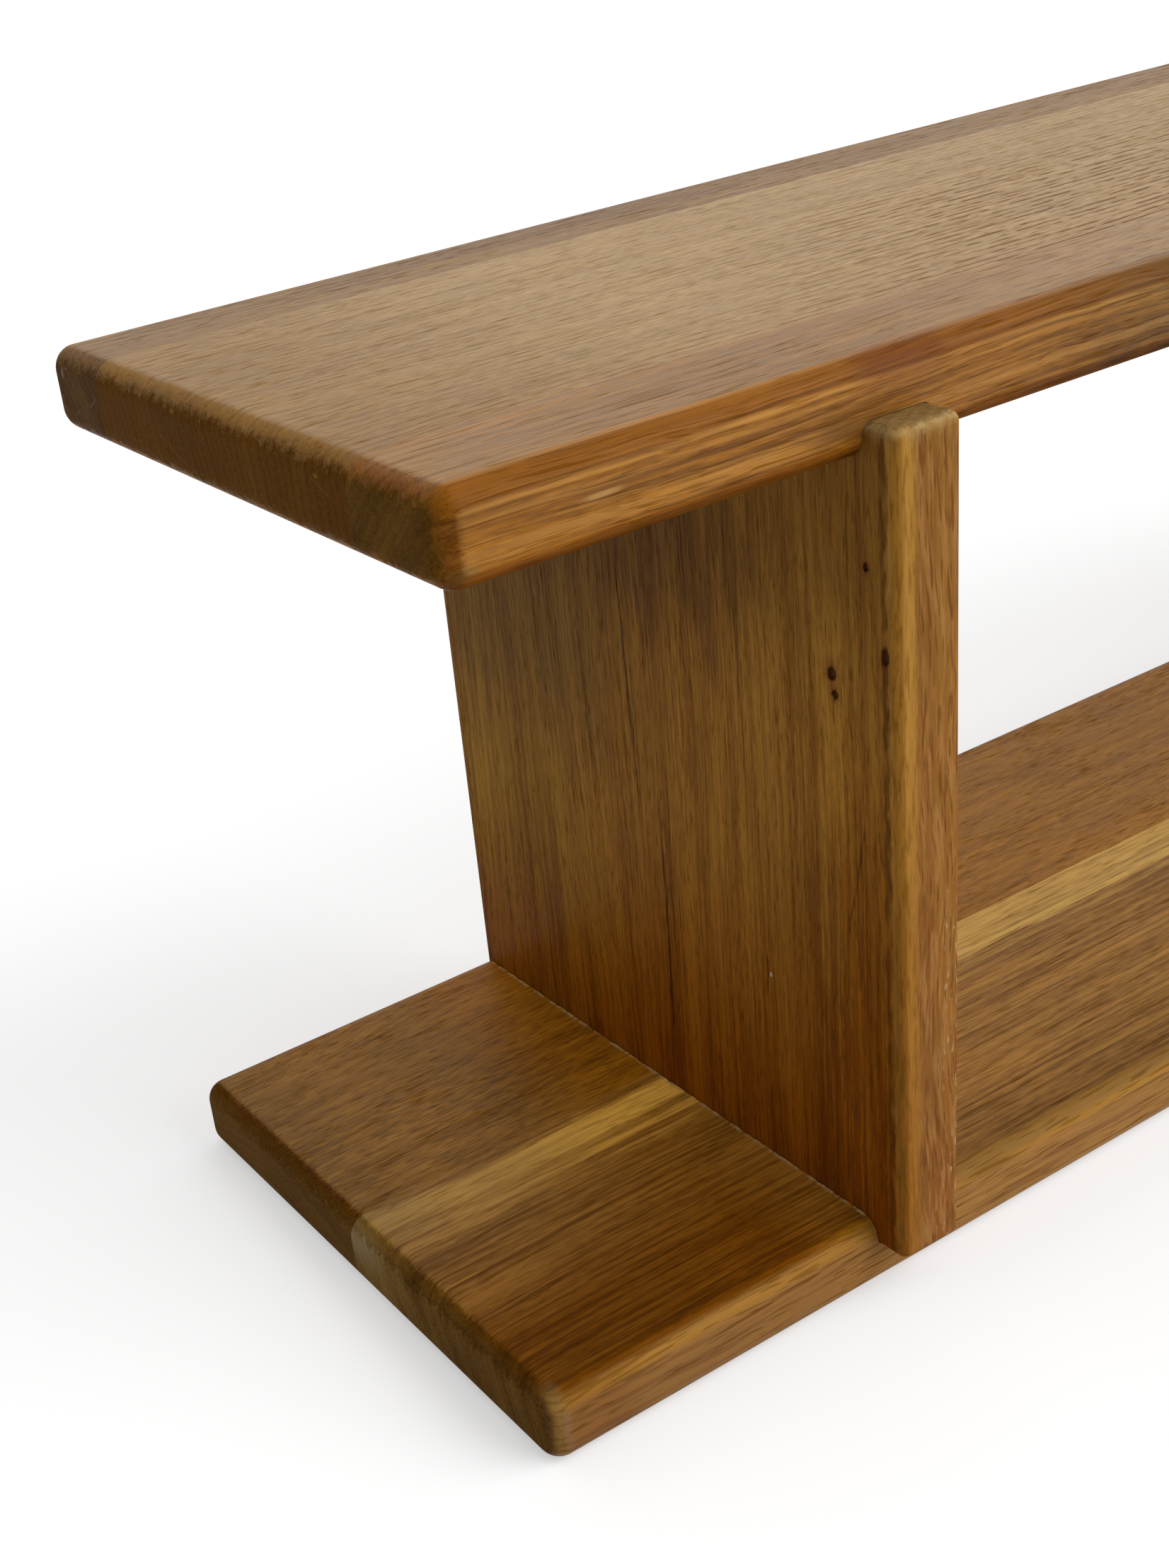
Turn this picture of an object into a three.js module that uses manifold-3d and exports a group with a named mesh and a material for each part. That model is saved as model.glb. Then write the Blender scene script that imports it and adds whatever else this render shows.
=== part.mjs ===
// Wall bookshelf in solid oak: two long boards with rounded edges, joined by two uprights that are
// housed in both boards and stand a little proud in front. Millimetres, +Z up, front towards -Y.
// The origin lies on the underside of the lower board, at mid-length and mid-depth.
import * as THREE from "three";
import { RoundedBoxGeometry } from "three/addons/geometries/RoundedBoxGeometry.js";
import { mergeVertices } from "three/addons/utils/BufferGeometryUtils.js";
import Module from "manifold-3d";

// Boards
const boardLength = 900;
const boardDepth = 200;
const boardThickness = 23.5;
const boardRounding = 6.5;
const clearHeight = 221;
const upperRearStaveWidth = 31.5;
const upperFrontStaveWidth = 37;
const lowerRearStaveWidth = 98;

// Uprights
const uprightThickness = 21.5;
const uprightInset = 115;
const uprightProud = 10.5;
const uprightRounding = 3;
const uprightRearStaveWidth = 100;
const housingDepth = 9;
const housingClearance = 0.2;

// Dowels, two in each housed joint, the same distance in from the boards' back and front
const dowelDiameter = 8;
const dowelLength = 30;
const dowelChamfer = 1;
const dowelDepthInBoard = 9;
const dowelFromEdge = 50;
const dowelClearance = 0.2;
const dowelEndClearance = 0.8;

// Keyhole hangers, let into the rear edges of the uprights
const plateWidth = 14;
const plateHeight = 52;
const plateThickness = 2;
const plateCornerRadius = 3;
const plateBelowUpperBoard = 12;
const plateClearance = 0.25;
const plateSink = 0.3;
const keyholeEntryRadius = 4.75;
const keyholeSlotWidth = 5.2;
const keyholeSlotRise = 11;
const keyholeEntryDrop = 6;
const pocketWidth = 12;
const pocketDepth = 11;
const screwFromPlateEnd = 6;
const screwHeadRadius = 2.9;
const screwHeadDepth = 1.5;
const screwShankRadius = 1.4;
const screwLength = 16;
const screwTipLength = 3;
const screwClearance = 0.3;
const recessSlotWidth = 0.8;
const recessSlotLength = 3.4;
const recessSlotDepth = 1;

// Cuts run past the wood by this much
const overrun = 2;

// Facets
const boardSegments = 3;
const uprightSegments = 2;
const dowelSides = 12;
const screwSides = 12;
const arcSegments = 8;

// Heights and depths that the sizes above give
const totalDepth = boardDepth + uprightProud;
const backY = totalDepth / 2;
const boardFrontY = backY - boardDepth;
const lowerTopZ = boardThickness;
const upperBottomZ = lowerTopZ + clearHeight;
const upperTopZ = upperBottomZ + boardThickness;
const uprightCentreX = boardLength / 2 - uprightInset - uprightThickness / 2;
const uprightBottomZ = lowerTopZ - housingDepth;
const uprightTopZ = upperBottomZ + housingDepth;
const plateOuterY = backY - plateSink;
const plateCentreZ = upperBottomZ - plateBelowUpperBoard - plateHeight / 2;
const keyholeEntryZ = plateCentreZ - keyholeEntryDrop;
const keyholeSlotTopZ = keyholeEntryZ + keyholeSlotRise;
const screwOffsetZ = plateHeight / 2 - screwFromPlateEnd;

const wasm = await Module();
wasm.setup();

// A three.js geometry as a solid that can be cut and joined
function solid(geometry) {
  const bare = new THREE.BufferGeometry();
  bare.setAttribute("position", geometry.getAttribute("position").clone());
  if (geometry.index) {
    bare.setIndex(geometry.index.clone());
  }
  const merged = mergeVertices(bare);
  const corners = merged.index.array;
  const faces = [];
  for (let i = 0; i < corners.length; i += 3) {
    const [a, b, c] = [corners[i], corners[i + 1], corners[i + 2]];
    if (a !== b && b !== c && c !== a) {
      faces.push(a, b, c);
    }
  }
  const mesh = new wasm.Mesh({
    numProp: 3,
    vertProperties: new Float32Array(merged.getAttribute("position").array),
    triVerts: new Uint32Array(faces),
  });
  return new wasm.Manifold(mesh);
}

// A solid back as a three.js geometry
function geometryOf(shape) {
  const mesh = shape.getMesh();
  const geometry = new THREE.BufferGeometry();
  geometry.setAttribute("position", new THREE.BufferAttribute(mesh.vertProperties, mesh.numProp));
  geometry.setIndex(new THREE.BufferAttribute(mesh.triVerts, 1));
  geometry.computeVertexNormals();
  return geometry;
}

function cut(body, tools) {
  return tools.reduce((rest, tool) => rest.subtract(tool), body);
}

// A block between two opposite corners
function block(low, high) {
  const size = high.map((value, axis) => value - low[axis]);
  const geometry = new THREE.BoxGeometry(...size);
  geometry.translate(...low.map((value, axis) => value + size[axis] / 2));
  return solid(geometry);
}

// A round-edged plank between two opposite corners
function plank(low, high, rounding, segments) {
  const size = high.map((value, axis) => value - low[axis]);
  const geometry = new RoundedBoxGeometry(...size, segments, rounding);
  geometry.translate(...low.map((value, axis) => value + size[axis] / 2));
  return solid(geometry);
}

// A turned profile of [radius, height] pairs, listed upwards, about the +Z axis at a place
function turned(profile, sides, place) {
  const points = profile.map(([radius, height]) => new THREE.Vector2(radius, height));
  const geometry = new THREE.LatheGeometry(points, sides);
  geometry.rotateX(Math.PI / 2);
  geometry.translate(...place);
  return solid(geometry);
}

// The same about the -Y axis: height runs from the back of the shelf towards its front
function turnedInwards(profile, sides, place) {
  const points = profile.map(([radius, height]) => new THREE.Vector2(radius, height));
  const geometry = new THREE.LatheGeometry(points, sides);
  geometry.rotateX(Math.PI);
  geometry.translate(...place);
  return solid(geometry);
}

// An outline in X and Z, carried from rearY towards the front by a depth
function carriedInwards(shape, rearY, depth) {
  const geometry = new THREE.ExtrudeGeometry(shape, {
    depth,
    bevelEnabled: false,
    curveSegments: arcSegments,
  });
  geometry.rotateX(Math.PI / 2);
  geometry.translate(0, rearY, 0);
  return solid(geometry);
}

// A round-cornered rectangle about a centre in X and Z
function roundedRectangle(centreX, centreZ, width, height, radius) {
  const [left, right] = [centreX - width / 2, centreX + width / 2];
  const [low, high] = [centreZ - height / 2, centreZ + height / 2];
  const shape = new THREE.Shape();
  shape.moveTo(left + radius, low);
  shape.lineTo(right - radius, low);
  shape.absarc(right - radius, low + radius, radius, -Math.PI / 2, 0, false);
  shape.lineTo(right, high - radius);
  shape.absarc(right - radius, high - radius, radius, 0, Math.PI / 2, false);
  shape.lineTo(left + radius, high);
  shape.absarc(left + radius, high - radius, radius, Math.PI / 2, Math.PI, false);
  shape.lineTo(left, low + radius);
  shape.absarc(left + radius, low + radius, radius, Math.PI, Math.PI * 1.5, false);
  return shape;
}

// A keyhole: a round entry with a narrower slot that rises from it
function keyholeOutline(centreX) {
  const slotRadius = keyholeSlotWidth / 2;
  const mouth = Math.asin(slotRadius / keyholeEntryRadius);
  const outline = new THREE.Shape();
  outline.absarc(centreX, keyholeEntryZ, keyholeEntryRadius, Math.PI / 2 + mouth, Math.PI * 2.5 - mouth, false);
  outline.lineTo(centreX + slotRadius, keyholeSlotTopZ);
  outline.absarc(centreX, keyholeSlotTopZ, slotRadius, 0, Math.PI, false);
  outline.closePath();
  return outline;
}

// The groove across a board that an upright sits in, from the board's face to the groove's floor
function housing(centreX, faceZ, floorZ) {
  const halfWidth = uprightThickness / 2 + housingClearance;
  const past = faceZ + Math.sign(faceZ - floorZ) * overrun;
  return block(
    [centreX - halfWidth, boardFrontY - overrun, Math.min(past, floorZ)],
    [centreX + halfWidth, backY + overrun, Math.max(past, floorZ)],
  );
}

// A dowel, or with clearances the hole that it sits in
function dowel(centreX, centreY, centreZ, radialClearance, endClearance) {
  const radius = dowelDiameter / 2 + radialClearance;
  const half = dowelLength / 2 + endClearance;
  const profile = [
    [0, -half],
    [radius - dowelChamfer, -half],
    [radius, dowelChamfer - half],
    [radius, half - dowelChamfer],
    [radius - dowelChamfer, half],
    [0, half],
  ];
  return turned(profile, dowelSides, [centreX, centreY, centreZ]);
}

// A countersunk screw driven in from the back, or with a clearance the hole that it sits in
function screw(centreX, centreZ, clearance) {
  const shank = screwShankRadius + clearance;
  const profile = [
    [0, 0],
    [screwHeadRadius + clearance, 0],
    [shank, screwHeadDepth + clearance],
    [shank, screwLength - screwTipLength],
    [0, screwLength + clearance],
  ];
  return turnedInwards(profile, screwSides, [centreX, plateOuterY, centreZ]);
}

// The part of a solid between two depths
function slice(body, lowY, highY) {
  const reach = boardLength;
  return body.intersect(block([-reach, lowY, -reach], [reach, highY, reach]));
}

const shelf = new THREE.Group();
shelf.name = "wall_bookshelf";

// Every piece has its own material, like a real board with its own colour
function addPiece(name, shape, colour, roughness, metalness) {
  const material = new THREE.MeshStandardMaterial({ color: colour, roughness, metalness });
  const mesh = new THREE.Mesh(geometryOf(shape), material);
  mesh.name = name;
  shelf.add(mesh);
}

const woodRoughness = 0.5;
const sides = { left: -uprightCentreX, right: uprightCentreX };
const dowelRows = { rear: backY - dowelFromEdge, front: boardFrontY + dowelFromEdge };
const joints = {
  upper: { floorZ: uprightTopZ + housingClearance, intoBoard: 1 },
  lower: { floorZ: uprightBottomZ - housingClearance, intoBoard: -1 },
};

// Where a joint's dowels are centred: so deep in the board, and the rest in the upright
function dowelCentreZ(joint) {
  return joint.floorZ + joint.intoBoard * (dowelDepthInBoard - dowelLength / 2);
}

// The holes of one joint's two dowels
function dowelHoles(centreX, joint) {
  return Object.values(dowelRows).map((rowY) => {
    return dowel(centreX, rowY, dowelCentreZ(joint), dowelClearance, dowelEndClearance);
  });
}

// Both boards: a round-edged plank with two grooves and four dowel holes, sawn along its glue lines
function board(bottomZ, faceZ, joint) {
  const low = [-boardLength / 2, boardFrontY, bottomZ];
  const high = [boardLength / 2, backY, bottomZ + boardThickness];
  const tools = Object.values(sides).flatMap((centreX) => {
    return [housing(centreX, faceZ, joint.floorZ), ...dowelHoles(centreX, joint)];
  });
  return cut(plank(low, high, boardRounding, boardSegments), tools);
}

const upperBoard = board(upperBottomZ, upperBottomZ, joints.upper);
const upperRearGlueY = backY - upperRearStaveWidth;
const upperFrontGlueY = boardFrontY + upperFrontStaveWidth;
const pastBack = backY + overrun;
const pastFront = boardFrontY - overrun;
addPiece("upper_rear_stave", slice(upperBoard, upperRearGlueY, pastBack), "#9c7f5a", woodRoughness, 0);
addPiece("upper_centre_stave", slice(upperBoard, upperFrontGlueY, upperRearGlueY), "#ac926f", woodRoughness, 0);
addPiece("upper_front_stave", slice(upperBoard, pastFront, upperFrontGlueY), "#9a7248", woodRoughness, 0);

const lowerBoard = board(0, lowerTopZ, joints.lower);
const lowerGlueY = backY - lowerRearStaveWidth;
addPiece("lower_rear_stave", slice(lowerBoard, lowerGlueY, pastBack), "#7d582f", woodRoughness, 0);
addPiece("lower_front_stave", slice(lowerBoard, pastFront, lowerGlueY), "#876034", woodRoughness, 0);

// A hanger's place in an upright: a bed for the plate, a pocket for the wall screw's head behind it,
// and holes for the two screws that hold the plate
function hangerCuts(centreX) {
  const bedDepth = plateSink + plateThickness + plateClearance + overrun;
  const bed = carriedInwards(
    roundedRectangle(
      centreX,
      plateCentreZ,
      plateWidth + plateClearance * 2,
      plateHeight + plateClearance * 2,
      plateCornerRadius + plateClearance,
    ),
    pastBack,
    bedDepth,
  );
  const pocketHeight = keyholeSlotRise + pocketWidth;
  const pocket = carriedInwards(
    roundedRectangle(
      centreX,
      (keyholeEntryZ + keyholeSlotTopZ) / 2,
      pocketWidth,
      pocketHeight,
      pocketWidth / 2,
    ),
    pastBack,
    pocketDepth + plateThickness + overrun,
  );
  const holes = [-screwOffsetZ, screwOffsetZ].map((offset) => {
    return screw(centreX, plateCentreZ + offset, screwClearance);
  });
  return [bed, pocket, ...holes];
}

// The steel plate with its keyhole and two countersunk holes
function hangerPlate(centreX) {
  const outline = roundedRectangle(centreX, plateCentreZ, plateWidth, plateHeight, plateCornerRadius);
  const keyhole = carriedInwards(keyholeOutline(centreX), pastBack, plateThickness + overrun * 2);
  const holes = [-screwOffsetZ, screwOffsetZ].map((offset) => {
    return screw(centreX, plateCentreZ + offset, screwClearance);
  });
  return cut(carriedInwards(outline, plateOuterY, plateThickness), [keyhole, ...holes]);
}

// A hanger screw, with the cross in its head
function hangerScrew(centreX, centreZ) {
  const arms = [
    [recessSlotLength, recessSlotWidth],
    [recessSlotWidth, recessSlotLength],
  ].map(([width, height]) => {
    return block(
      [centreX - width / 2, plateOuterY - recessSlotDepth, centreZ - height / 2],
      [centreX + width / 2, plateOuterY + overrun, centreZ + height / 2],
    );
  });
  return cut(screw(centreX, centreZ, 0), arms);
}

for (const [side, centreX] of Object.entries(sides)) {
  const low = [centreX - uprightThickness / 2, boardFrontY - uprightProud, uprightBottomZ];
  const high = [centreX + uprightThickness / 2, backY, uprightTopZ];
  const tools = [...Object.values(joints).flatMap((joint) => dowelHoles(centreX, joint)), ...hangerCuts(centreX)];
  const upright = cut(plank(low, high, uprightRounding, uprightSegments), tools);
  const glueY = backY - uprightRearStaveWidth;
  addPiece(`${side}_upright_rear_stave`, slice(upright, glueY, pastBack), "#64421b", woodRoughness, 0);
  addPiece(
    `${side}_upright_front_stave`,
    slice(upright, pastFront - uprightProud, glueY),
    "#7a5226",
    woodRoughness,
    0,
  );

  for (const [level, joint] of Object.entries(joints)) {
    for (const [row, rowY] of Object.entries(dowelRows)) {
      const pin = dowel(centreX, rowY, dowelCentreZ(joint), 0, 0);
      addPiece(`${side}_${level}_${row}_dowel`, pin, "#d8bd92", woodRoughness, 0);
    }
  }

  addPiece(`${side}_hanger_plate`, hangerPlate(centreX), "#9a9c9e", 0.35, 1);
  addPiece(`${side}_hanger_upper_screw`, hangerScrew(centreX, plateCentreZ + screwOffsetZ), "#b9b6ac", 0.3, 1);
  addPiece(`${side}_hanger_lower_screw`, hangerScrew(centreX, plateCentreZ - screwOffsetZ), "#b9b6ac", 0.3, 1);
}

export default shelf;
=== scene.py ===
"""Wall bookshelf in oiled oak: the looks of every piece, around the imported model. Metres, +Z up."""

import math
import random
from functools import reduce
from operator import mul
from types import SimpleNamespace

import bmesh
import bpy
from mathutils import Euler, Matrix, Vector


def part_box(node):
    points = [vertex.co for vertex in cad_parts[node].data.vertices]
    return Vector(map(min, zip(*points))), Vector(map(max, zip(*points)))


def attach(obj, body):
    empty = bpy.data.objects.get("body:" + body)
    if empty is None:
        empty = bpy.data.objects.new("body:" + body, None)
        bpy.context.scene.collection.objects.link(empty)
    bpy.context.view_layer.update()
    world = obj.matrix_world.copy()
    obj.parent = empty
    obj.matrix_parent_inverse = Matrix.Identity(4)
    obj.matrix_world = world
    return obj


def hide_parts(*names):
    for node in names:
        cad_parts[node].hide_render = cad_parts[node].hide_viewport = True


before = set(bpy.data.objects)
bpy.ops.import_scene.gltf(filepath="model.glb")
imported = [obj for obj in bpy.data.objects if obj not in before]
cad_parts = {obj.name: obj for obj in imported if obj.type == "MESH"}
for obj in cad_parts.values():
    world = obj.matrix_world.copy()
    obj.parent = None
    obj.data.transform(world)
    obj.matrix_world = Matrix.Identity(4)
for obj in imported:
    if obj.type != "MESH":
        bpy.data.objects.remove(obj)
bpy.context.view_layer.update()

MM = 0.001
SIDES = ("left", "right")
LEVELS = ("upper", "lower")
ROWS = ("rear", "front")

# Shapes that the frame's boxes don't give
BOARD_ROUNDING = 6.5 * MM
UPRIGHT_ROUNDING = 3 * MM
ROUNDING_STEPS = 10
ARC_STEPS = 12
HOUSING_CLEARANCE = 0.2 * MM
OVERRUN = 5 * MM
PAST_ALL = 1000 * MM
SKIN_TOLERANCE = 0.03

# Worn edges of the grooves
EDGE_STATION = 1.3 * MM
EDGE_CHIP_WIDTH = 0.45 * MM
EDGE_CHIP_DEPTH = 0.4 * MM
LARGE_CHIP_WIDTH = 1.2 * EDGE_CHIP_WIDTH
LARGE_CHIP_CHANCE = 0.06
MOUTH_LENGTH = 9 * MM
MOUTH_WIDTH = 0.5 * MM
MOUTH_RIGHT_SHARE = 0.4

# Pin knots in the left face of the left upright: from the back, below the upright's top, width, height
KNOTS = (
    (187, 66, 3, 3.4),
    (188, 71.4, 2.2, 2.4),
    (206.2, 56.2, 2.6, 4.4),
    (200, 34.8, 1.7, 2.2),
)
KNOT_DEPTH = 0.5 * MM

# Hangers: a steel plate with a keyhole, two screws, and what they need cut out of the upright
PLATE_CORNER = 3 * MM
PLATE_CLEARANCE = 0.25 * MM
PLATE_EDGE = 0.25 * MM
SHARP_ANGLE = 40
KEYHOLE_RADIUS = 4.75 * MM
KEYHOLE_DROP = 6 * MM
SLOT_WIDTH = 5.2 * MM
SLOT_RISE = 11 * MM
POCKET_WIDTH = 12 * MM
POCKET_DEPTH = 11 * MM
POCKET_CORNER = POCKET_WIDTH / 2 - 0.01 * MM
HEAD_RADIUS = 2.9 * MM
HEAD_RIM = 0.2 * MM
HEAD_DEPTH = 1.5 * MM
SHANK_RADIUS = 1.4 * MM
THREAD_DEPTH = 0.35 * MM
THREAD_PITCH = 1.2 * MM
THREAD_STEPS = 6
THREAD_SHARE_AT_TIP = 0.6
TIP_LENGTH = 3 * MM
TIP_RADIUS = 0.05 * MM
SCREW_SIDES = 24
SCREW_CLEARANCE = 0.3 * MM
SCREW_HOLE_SIDES = 32
SCREW_HOLE_END_RADIUS = 0.02 * MM
RECESS_WIDTH = 0.8 * MM
RECESS_LENGTH = 3.4 * MM
RECESS_DEPTH = 1 * MM

# Dowels
DOWEL_FLUTES = 22
POINTS_PER_FLUTE = 6
DOWEL_FLUTE_DEPTH = 0.22 * MM
DOWEL_CHAMFER = 1 * MM
DOWEL_CLEARANCE = 0.2 * MM
DOWEL_END_CLEARANCE = 0.8 * MM
DOWEL_HOLE_SIDES = 40

UPPER_STAVES = ("upper_rear_stave", "upper_centre_stave", "upper_front_stave")
LOWER_STAVES = ("lower_rear_stave", "lower_front_stave")


def union_box(names):
    """Lowest and highest corner of several CAD nodes together."""
    lows, highs = zip(*(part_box(name) for name in names))
    return Vector(map(min, *lows)), Vector(map(max, *highs))


def upright_names(side):
    return f"{side}_upright_rear_stave", f"{side}_upright_front_stave"


def dowel_names(side, level):
    return [f"{side}_{level}_{row}_dowel" for row in ROWS]


def screw_names(side):
    return [f"{side}_hanger_{level}_screw" for level in LEVELS]


UPPER = union_box(UPPER_STAVES)
LOWER = union_box(LOWER_STAVES)
UPRIGHTS = {side: union_box(upright_names(side)) for side in SIDES}
BACK = UPPER[1].y

# Mesh tools


def add_object(name, data):
    """An object in the scene, with its mesh, lamp or camera."""
    piece = bpy.data.objects.new(name, data)
    bpy.context.scene.collection.objects.link(piece)
    return piece


def new_object(name, bm):
    """A mesh object from a bmesh, which is freed."""
    mesh = bpy.data.meshes.new(name)
    bm.to_mesh(mesh)
    bm.free()
    return add_object(name, mesh)


def box_bmesh(low, high):
    bm = bmesh.new()
    bmesh.ops.create_cube(bm, size=1)
    for vert in bm.verts:
        for axis in range(3):
            vert.co[axis] = low[axis] + (vert.co[axis] + 0.5) * (high[axis] - low[axis])
    return bm


def rounded_block(name, low, high, radius):
    """A block with all its edges rounded to one radius."""
    bm = box_bmesh(low, high)
    settings = dict(segments=ROUNDING_STEPS, profile=0.5, affect="EDGES", clamp_overlap=True)
    bmesh.ops.bevel(bm, geom=list(bm.edges), offset=radius, **settings)
    return new_object(name, bm)


def loft(name, sections, triangulated=False):
    """A closed body through sections that have as many points each."""
    bm = bmesh.new()
    rings = [[bm.verts.new(point) for point in section] for section in sections]
    count = len(rings[0])
    for first, second in zip(rings, rings[1:]):
        for i in range(count):
            j = (i + 1) % count
            bm.faces.new((first[i], first[j], second[j], second[i]))
    bm.faces.new(rings[0])
    bm.faces.new(rings[-1])
    if triangulated:
        bmesh.ops.triangulate(bm, faces=bm.faces)
    bmesh.ops.recalc_face_normals(bm, faces=bm.faces)
    return new_object(name, bm)


def prism(name, outline, start, end, axis="y"):
    """A closed outline of pairs in X and Z (or X and Y), carried along Y (or Z) from start to end."""
    if axis == "y":
        return loft(name, [[(x, y, z) for x, z in outline] for y in (start, end)])
    return loft(name, [[(x, y, z) for x, y in outline] for z in (start, end)])


def turned(name, profile, sides, place, radius_at=None):
    """A turned piece along Y from place towards the front: pairs of distance and radius."""
    sections = []
    for distance, radius in profile:
        section = []
        for i in range(sides):
            turn = 2 * math.pi * i / sides
            reach = radius if radius_at is None else radius_at(distance, radius, turn)
            section.append(place + Vector((reach * math.cos(turn), -distance, reach * math.sin(turn))))
        sections.append(section)
    return loft(name, sections)


def arc(centre_x, centre_z, radius, start, end):
    """Points of an arc, its angles in degrees."""
    points = []
    for i in range(ARC_STEPS + 1):
        angle = math.radians(start + (end - start) * i / ARC_STEPS)
        points.append((centre_x + radius * math.cos(angle), centre_z + radius * math.sin(angle)))
    return points


def circle(centre_x, centre_y, radius, sides):
    turns = [2 * math.pi * i / sides for i in range(sides)]
    return [(centre_x + radius * math.cos(turn), centre_y + radius * math.sin(turn)) for turn in turns]


def rounded_rectangle(centre_x, centre_z, width, height, radius):
    right, high = width / 2 - radius, height / 2 - radius
    corners = ((right, -high, -90), (right, high, 0), (-right, high, 90), (-right, -high, 180))
    outline = []
    for x, z, start in corners:
        outline += arc(centre_x + x, centre_z + z, radius, start, start + 90)
    return outline


def remove(piece):
    mesh = piece.data
    bpy.data.objects.remove(piece)
    bpy.data.meshes.remove(mesh)


def bake_modifiers(piece):
    """Makes a piece's modifiers part of its mesh."""
    bpy.context.view_layer.update()
    graph = bpy.context.evaluated_depsgraph_get()
    mesh = bpy.data.meshes.new_from_object(piece.evaluated_get(graph))
    piece.modifiers.clear()
    old = piece.data
    piece.data = mesh
    bpy.data.meshes.remove(old)


def cut(piece, tool, operation="DIFFERENCE"):
    """Cuts a piece with another object, which is then removed."""
    modifier = piece.modifiers.new("cut", "BOOLEAN")
    modifier.object = tool
    modifier.operation = operation
    modifier.solver = "EXACT"
    bake_modifiers(piece)
    remove(tool)


def break_edges(piece, width):
    """Breaks a piece's sharp edges by a small round."""
    modifier = piece.modifiers.new("edge", "BEVEL")
    modifier.width = width
    modifier.segments = 2
    modifier.limit_method = "ANGLE"
    modifier.angle_limit = math.radians(SHARP_ANGLE)
    modifier.harden_normals = False
    bake_modifiers(piece)


def rounded_normals(piece, low, high, radius):
    """True normals on a rounded block's skin, and flat ones in its cuts."""
    mesh = piece.data
    mesh.shade_smooth()
    inner_low = low + Vector((radius, radius, radius))
    inner_high = high - Vector((radius, radius, radius))

    def outwards(place):
        clamped = Vector(min(max(place[i], inner_low[i]), inner_high[i]) for i in range(3))
        return place - clamped

    normals = [None] * len(mesh.loops)
    for face in mesh.polygons:
        skin = abs(outwards(face.center).length - radius) < SKIN_TOLERANCE * radius
        for loop in face.loop_indices:
            direction = outwards(mesh.vertices[mesh.loops[loop].vertex_index].co)
            normals[loop] = direction.normalized() if skin and direction.length > 0 else face.normal
    mesh.normals_split_custom_set(normals)


def crisp_normals(piece, angle=30):
    """Smooth curves and crisp corners."""
    piece.data.shade_smooth()
    piece.data.set_sharp_from_angle(angle=math.radians(angle))


# Wood pieces


def chip(dice):
    """How far one place of a groove's edge is worn back: mostly little, here and there more."""
    wear = EDGE_CHIP_WIDTH * (0.25 + 0.75 * dice.random() ** 3)
    return wear + (LARGE_CHIP_WIDTH if dice.random() < LARGE_CHIP_CHANCE else 0)


def groove_cutter(side, board, opening_up, dice):
    """What cuts one upright's groove out of a board, with the small chips along the groove's edges."""
    low, high = UPRIGHTS[side]
    x_low = low.x - HOUSING_CLEARANCE
    x_high = high.x + HOUSING_CLEARANCE
    if opening_up:
        floor_z, face_z, turn = low.z - HOUSING_CLEARANCE, board[1].z, 1
    else:
        floor_z, face_z, turn = high.z + HOUSING_CLEARANCE, board[0].z, -1
    corner = UPRIGHT_ROUNDING + HOUSING_CLEARANCE
    floor = arc(x_low + corner, floor_z + turn * corner, corner, 180, 180 + turn * 90)
    floor += arc(x_high - corner, floor_z + turn * corner, corner, turn * -90, 0)
    start = board[0].y - OVERRUN
    length = board[1].y + OVERRUN - start
    stations = int(length / EDGE_STATION)
    sections = []
    for i in range(stations + 1):
        y = start + length * i / stations
        from_front = max(y - board[0].y, 0)
        mouth = MOUTH_WIDTH * max(0, 1 - from_front / MOUTH_LENGTH) ** 2
        left = chip(dice) + mouth
        right = chip(dice) + mouth * MOUTH_RIGHT_SHARE
        lip_z = face_z - turn * (EDGE_CHIP_DEPTH + mouth)
        section = (
            *floor,
            (x_high, lip_z),
            (x_high + right, face_z),
            (x_high + right, face_z + turn * OVERRUN),
            (x_low - left, face_z + turn * OVERRUN),
            (x_low - left, face_z),
            (x_low, lip_z),
        )
        sections.append([(x, y, z) for x, z in section])
    return loft(f"groove_{side}", sections, triangulated=True)


def dowel_hole(name):
    """The hole round one dowel."""
    low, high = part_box(name)
    centre = (low + high) / 2
    outline = circle(centre.x, centre.y, (high.x - low.x) / 2 + DOWEL_CLEARANCE, DOWEL_HOLE_SIDES)
    return prism("hole", outline, low.z - DOWEL_END_CLEARANCE, high.z + DOWEL_END_CLEARANCE, axis="z")


def split_staves(whole, names, block, radius):
    """One piece for each CAD stave's width of a board or an upright, with its normals."""
    staves = {}
    for name in names:
        low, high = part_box(name)
        piece = add_object(name + "_wood", whole.data.copy())
        slab = box_bmesh((-PAST_ALL, low.y, -PAST_ALL), (PAST_ALL, high.y, PAST_ALL))
        cut(piece, new_object("slab", slab), "INTERSECT")
        rounded_normals(piece, block[0], block[1], radius)
        staves[name] = piece
    remove(whole)
    return staves


def board_staves(level, names, board):
    dice = random.Random(level)
    whole = rounded_block("board", board[0], board[1], BOARD_ROUNDING)
    for side in SIDES:
        cut(whole, groove_cutter(side, board, level == "lower", dice))
        for name in dowel_names(side, level):
            cut(whole, dowel_hole(name))
    return split_staves(whole, names, board, BOARD_ROUNDING)


def knot_pit(knot):
    """An egg-shaped hollow for a pin knot."""
    across, down, width, height = (size * MM for size in knot)
    low, high = UPRIGHTS["left"]
    bm = bmesh.new()
    bmesh.ops.create_icosphere(bm, subdivisions=3, radius=1)
    size = Vector((KNOT_DEPTH, width / 2, height / 2))
    bmesh.ops.transform(bm, verts=bm.verts, matrix=Matrix.Diagonal(size).to_4x4())
    bmesh.ops.translate(bm, verts=bm.verts, vec=Vector((low.x, BACK - across, high.z - down)))
    return new_object("pit", bm)


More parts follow.
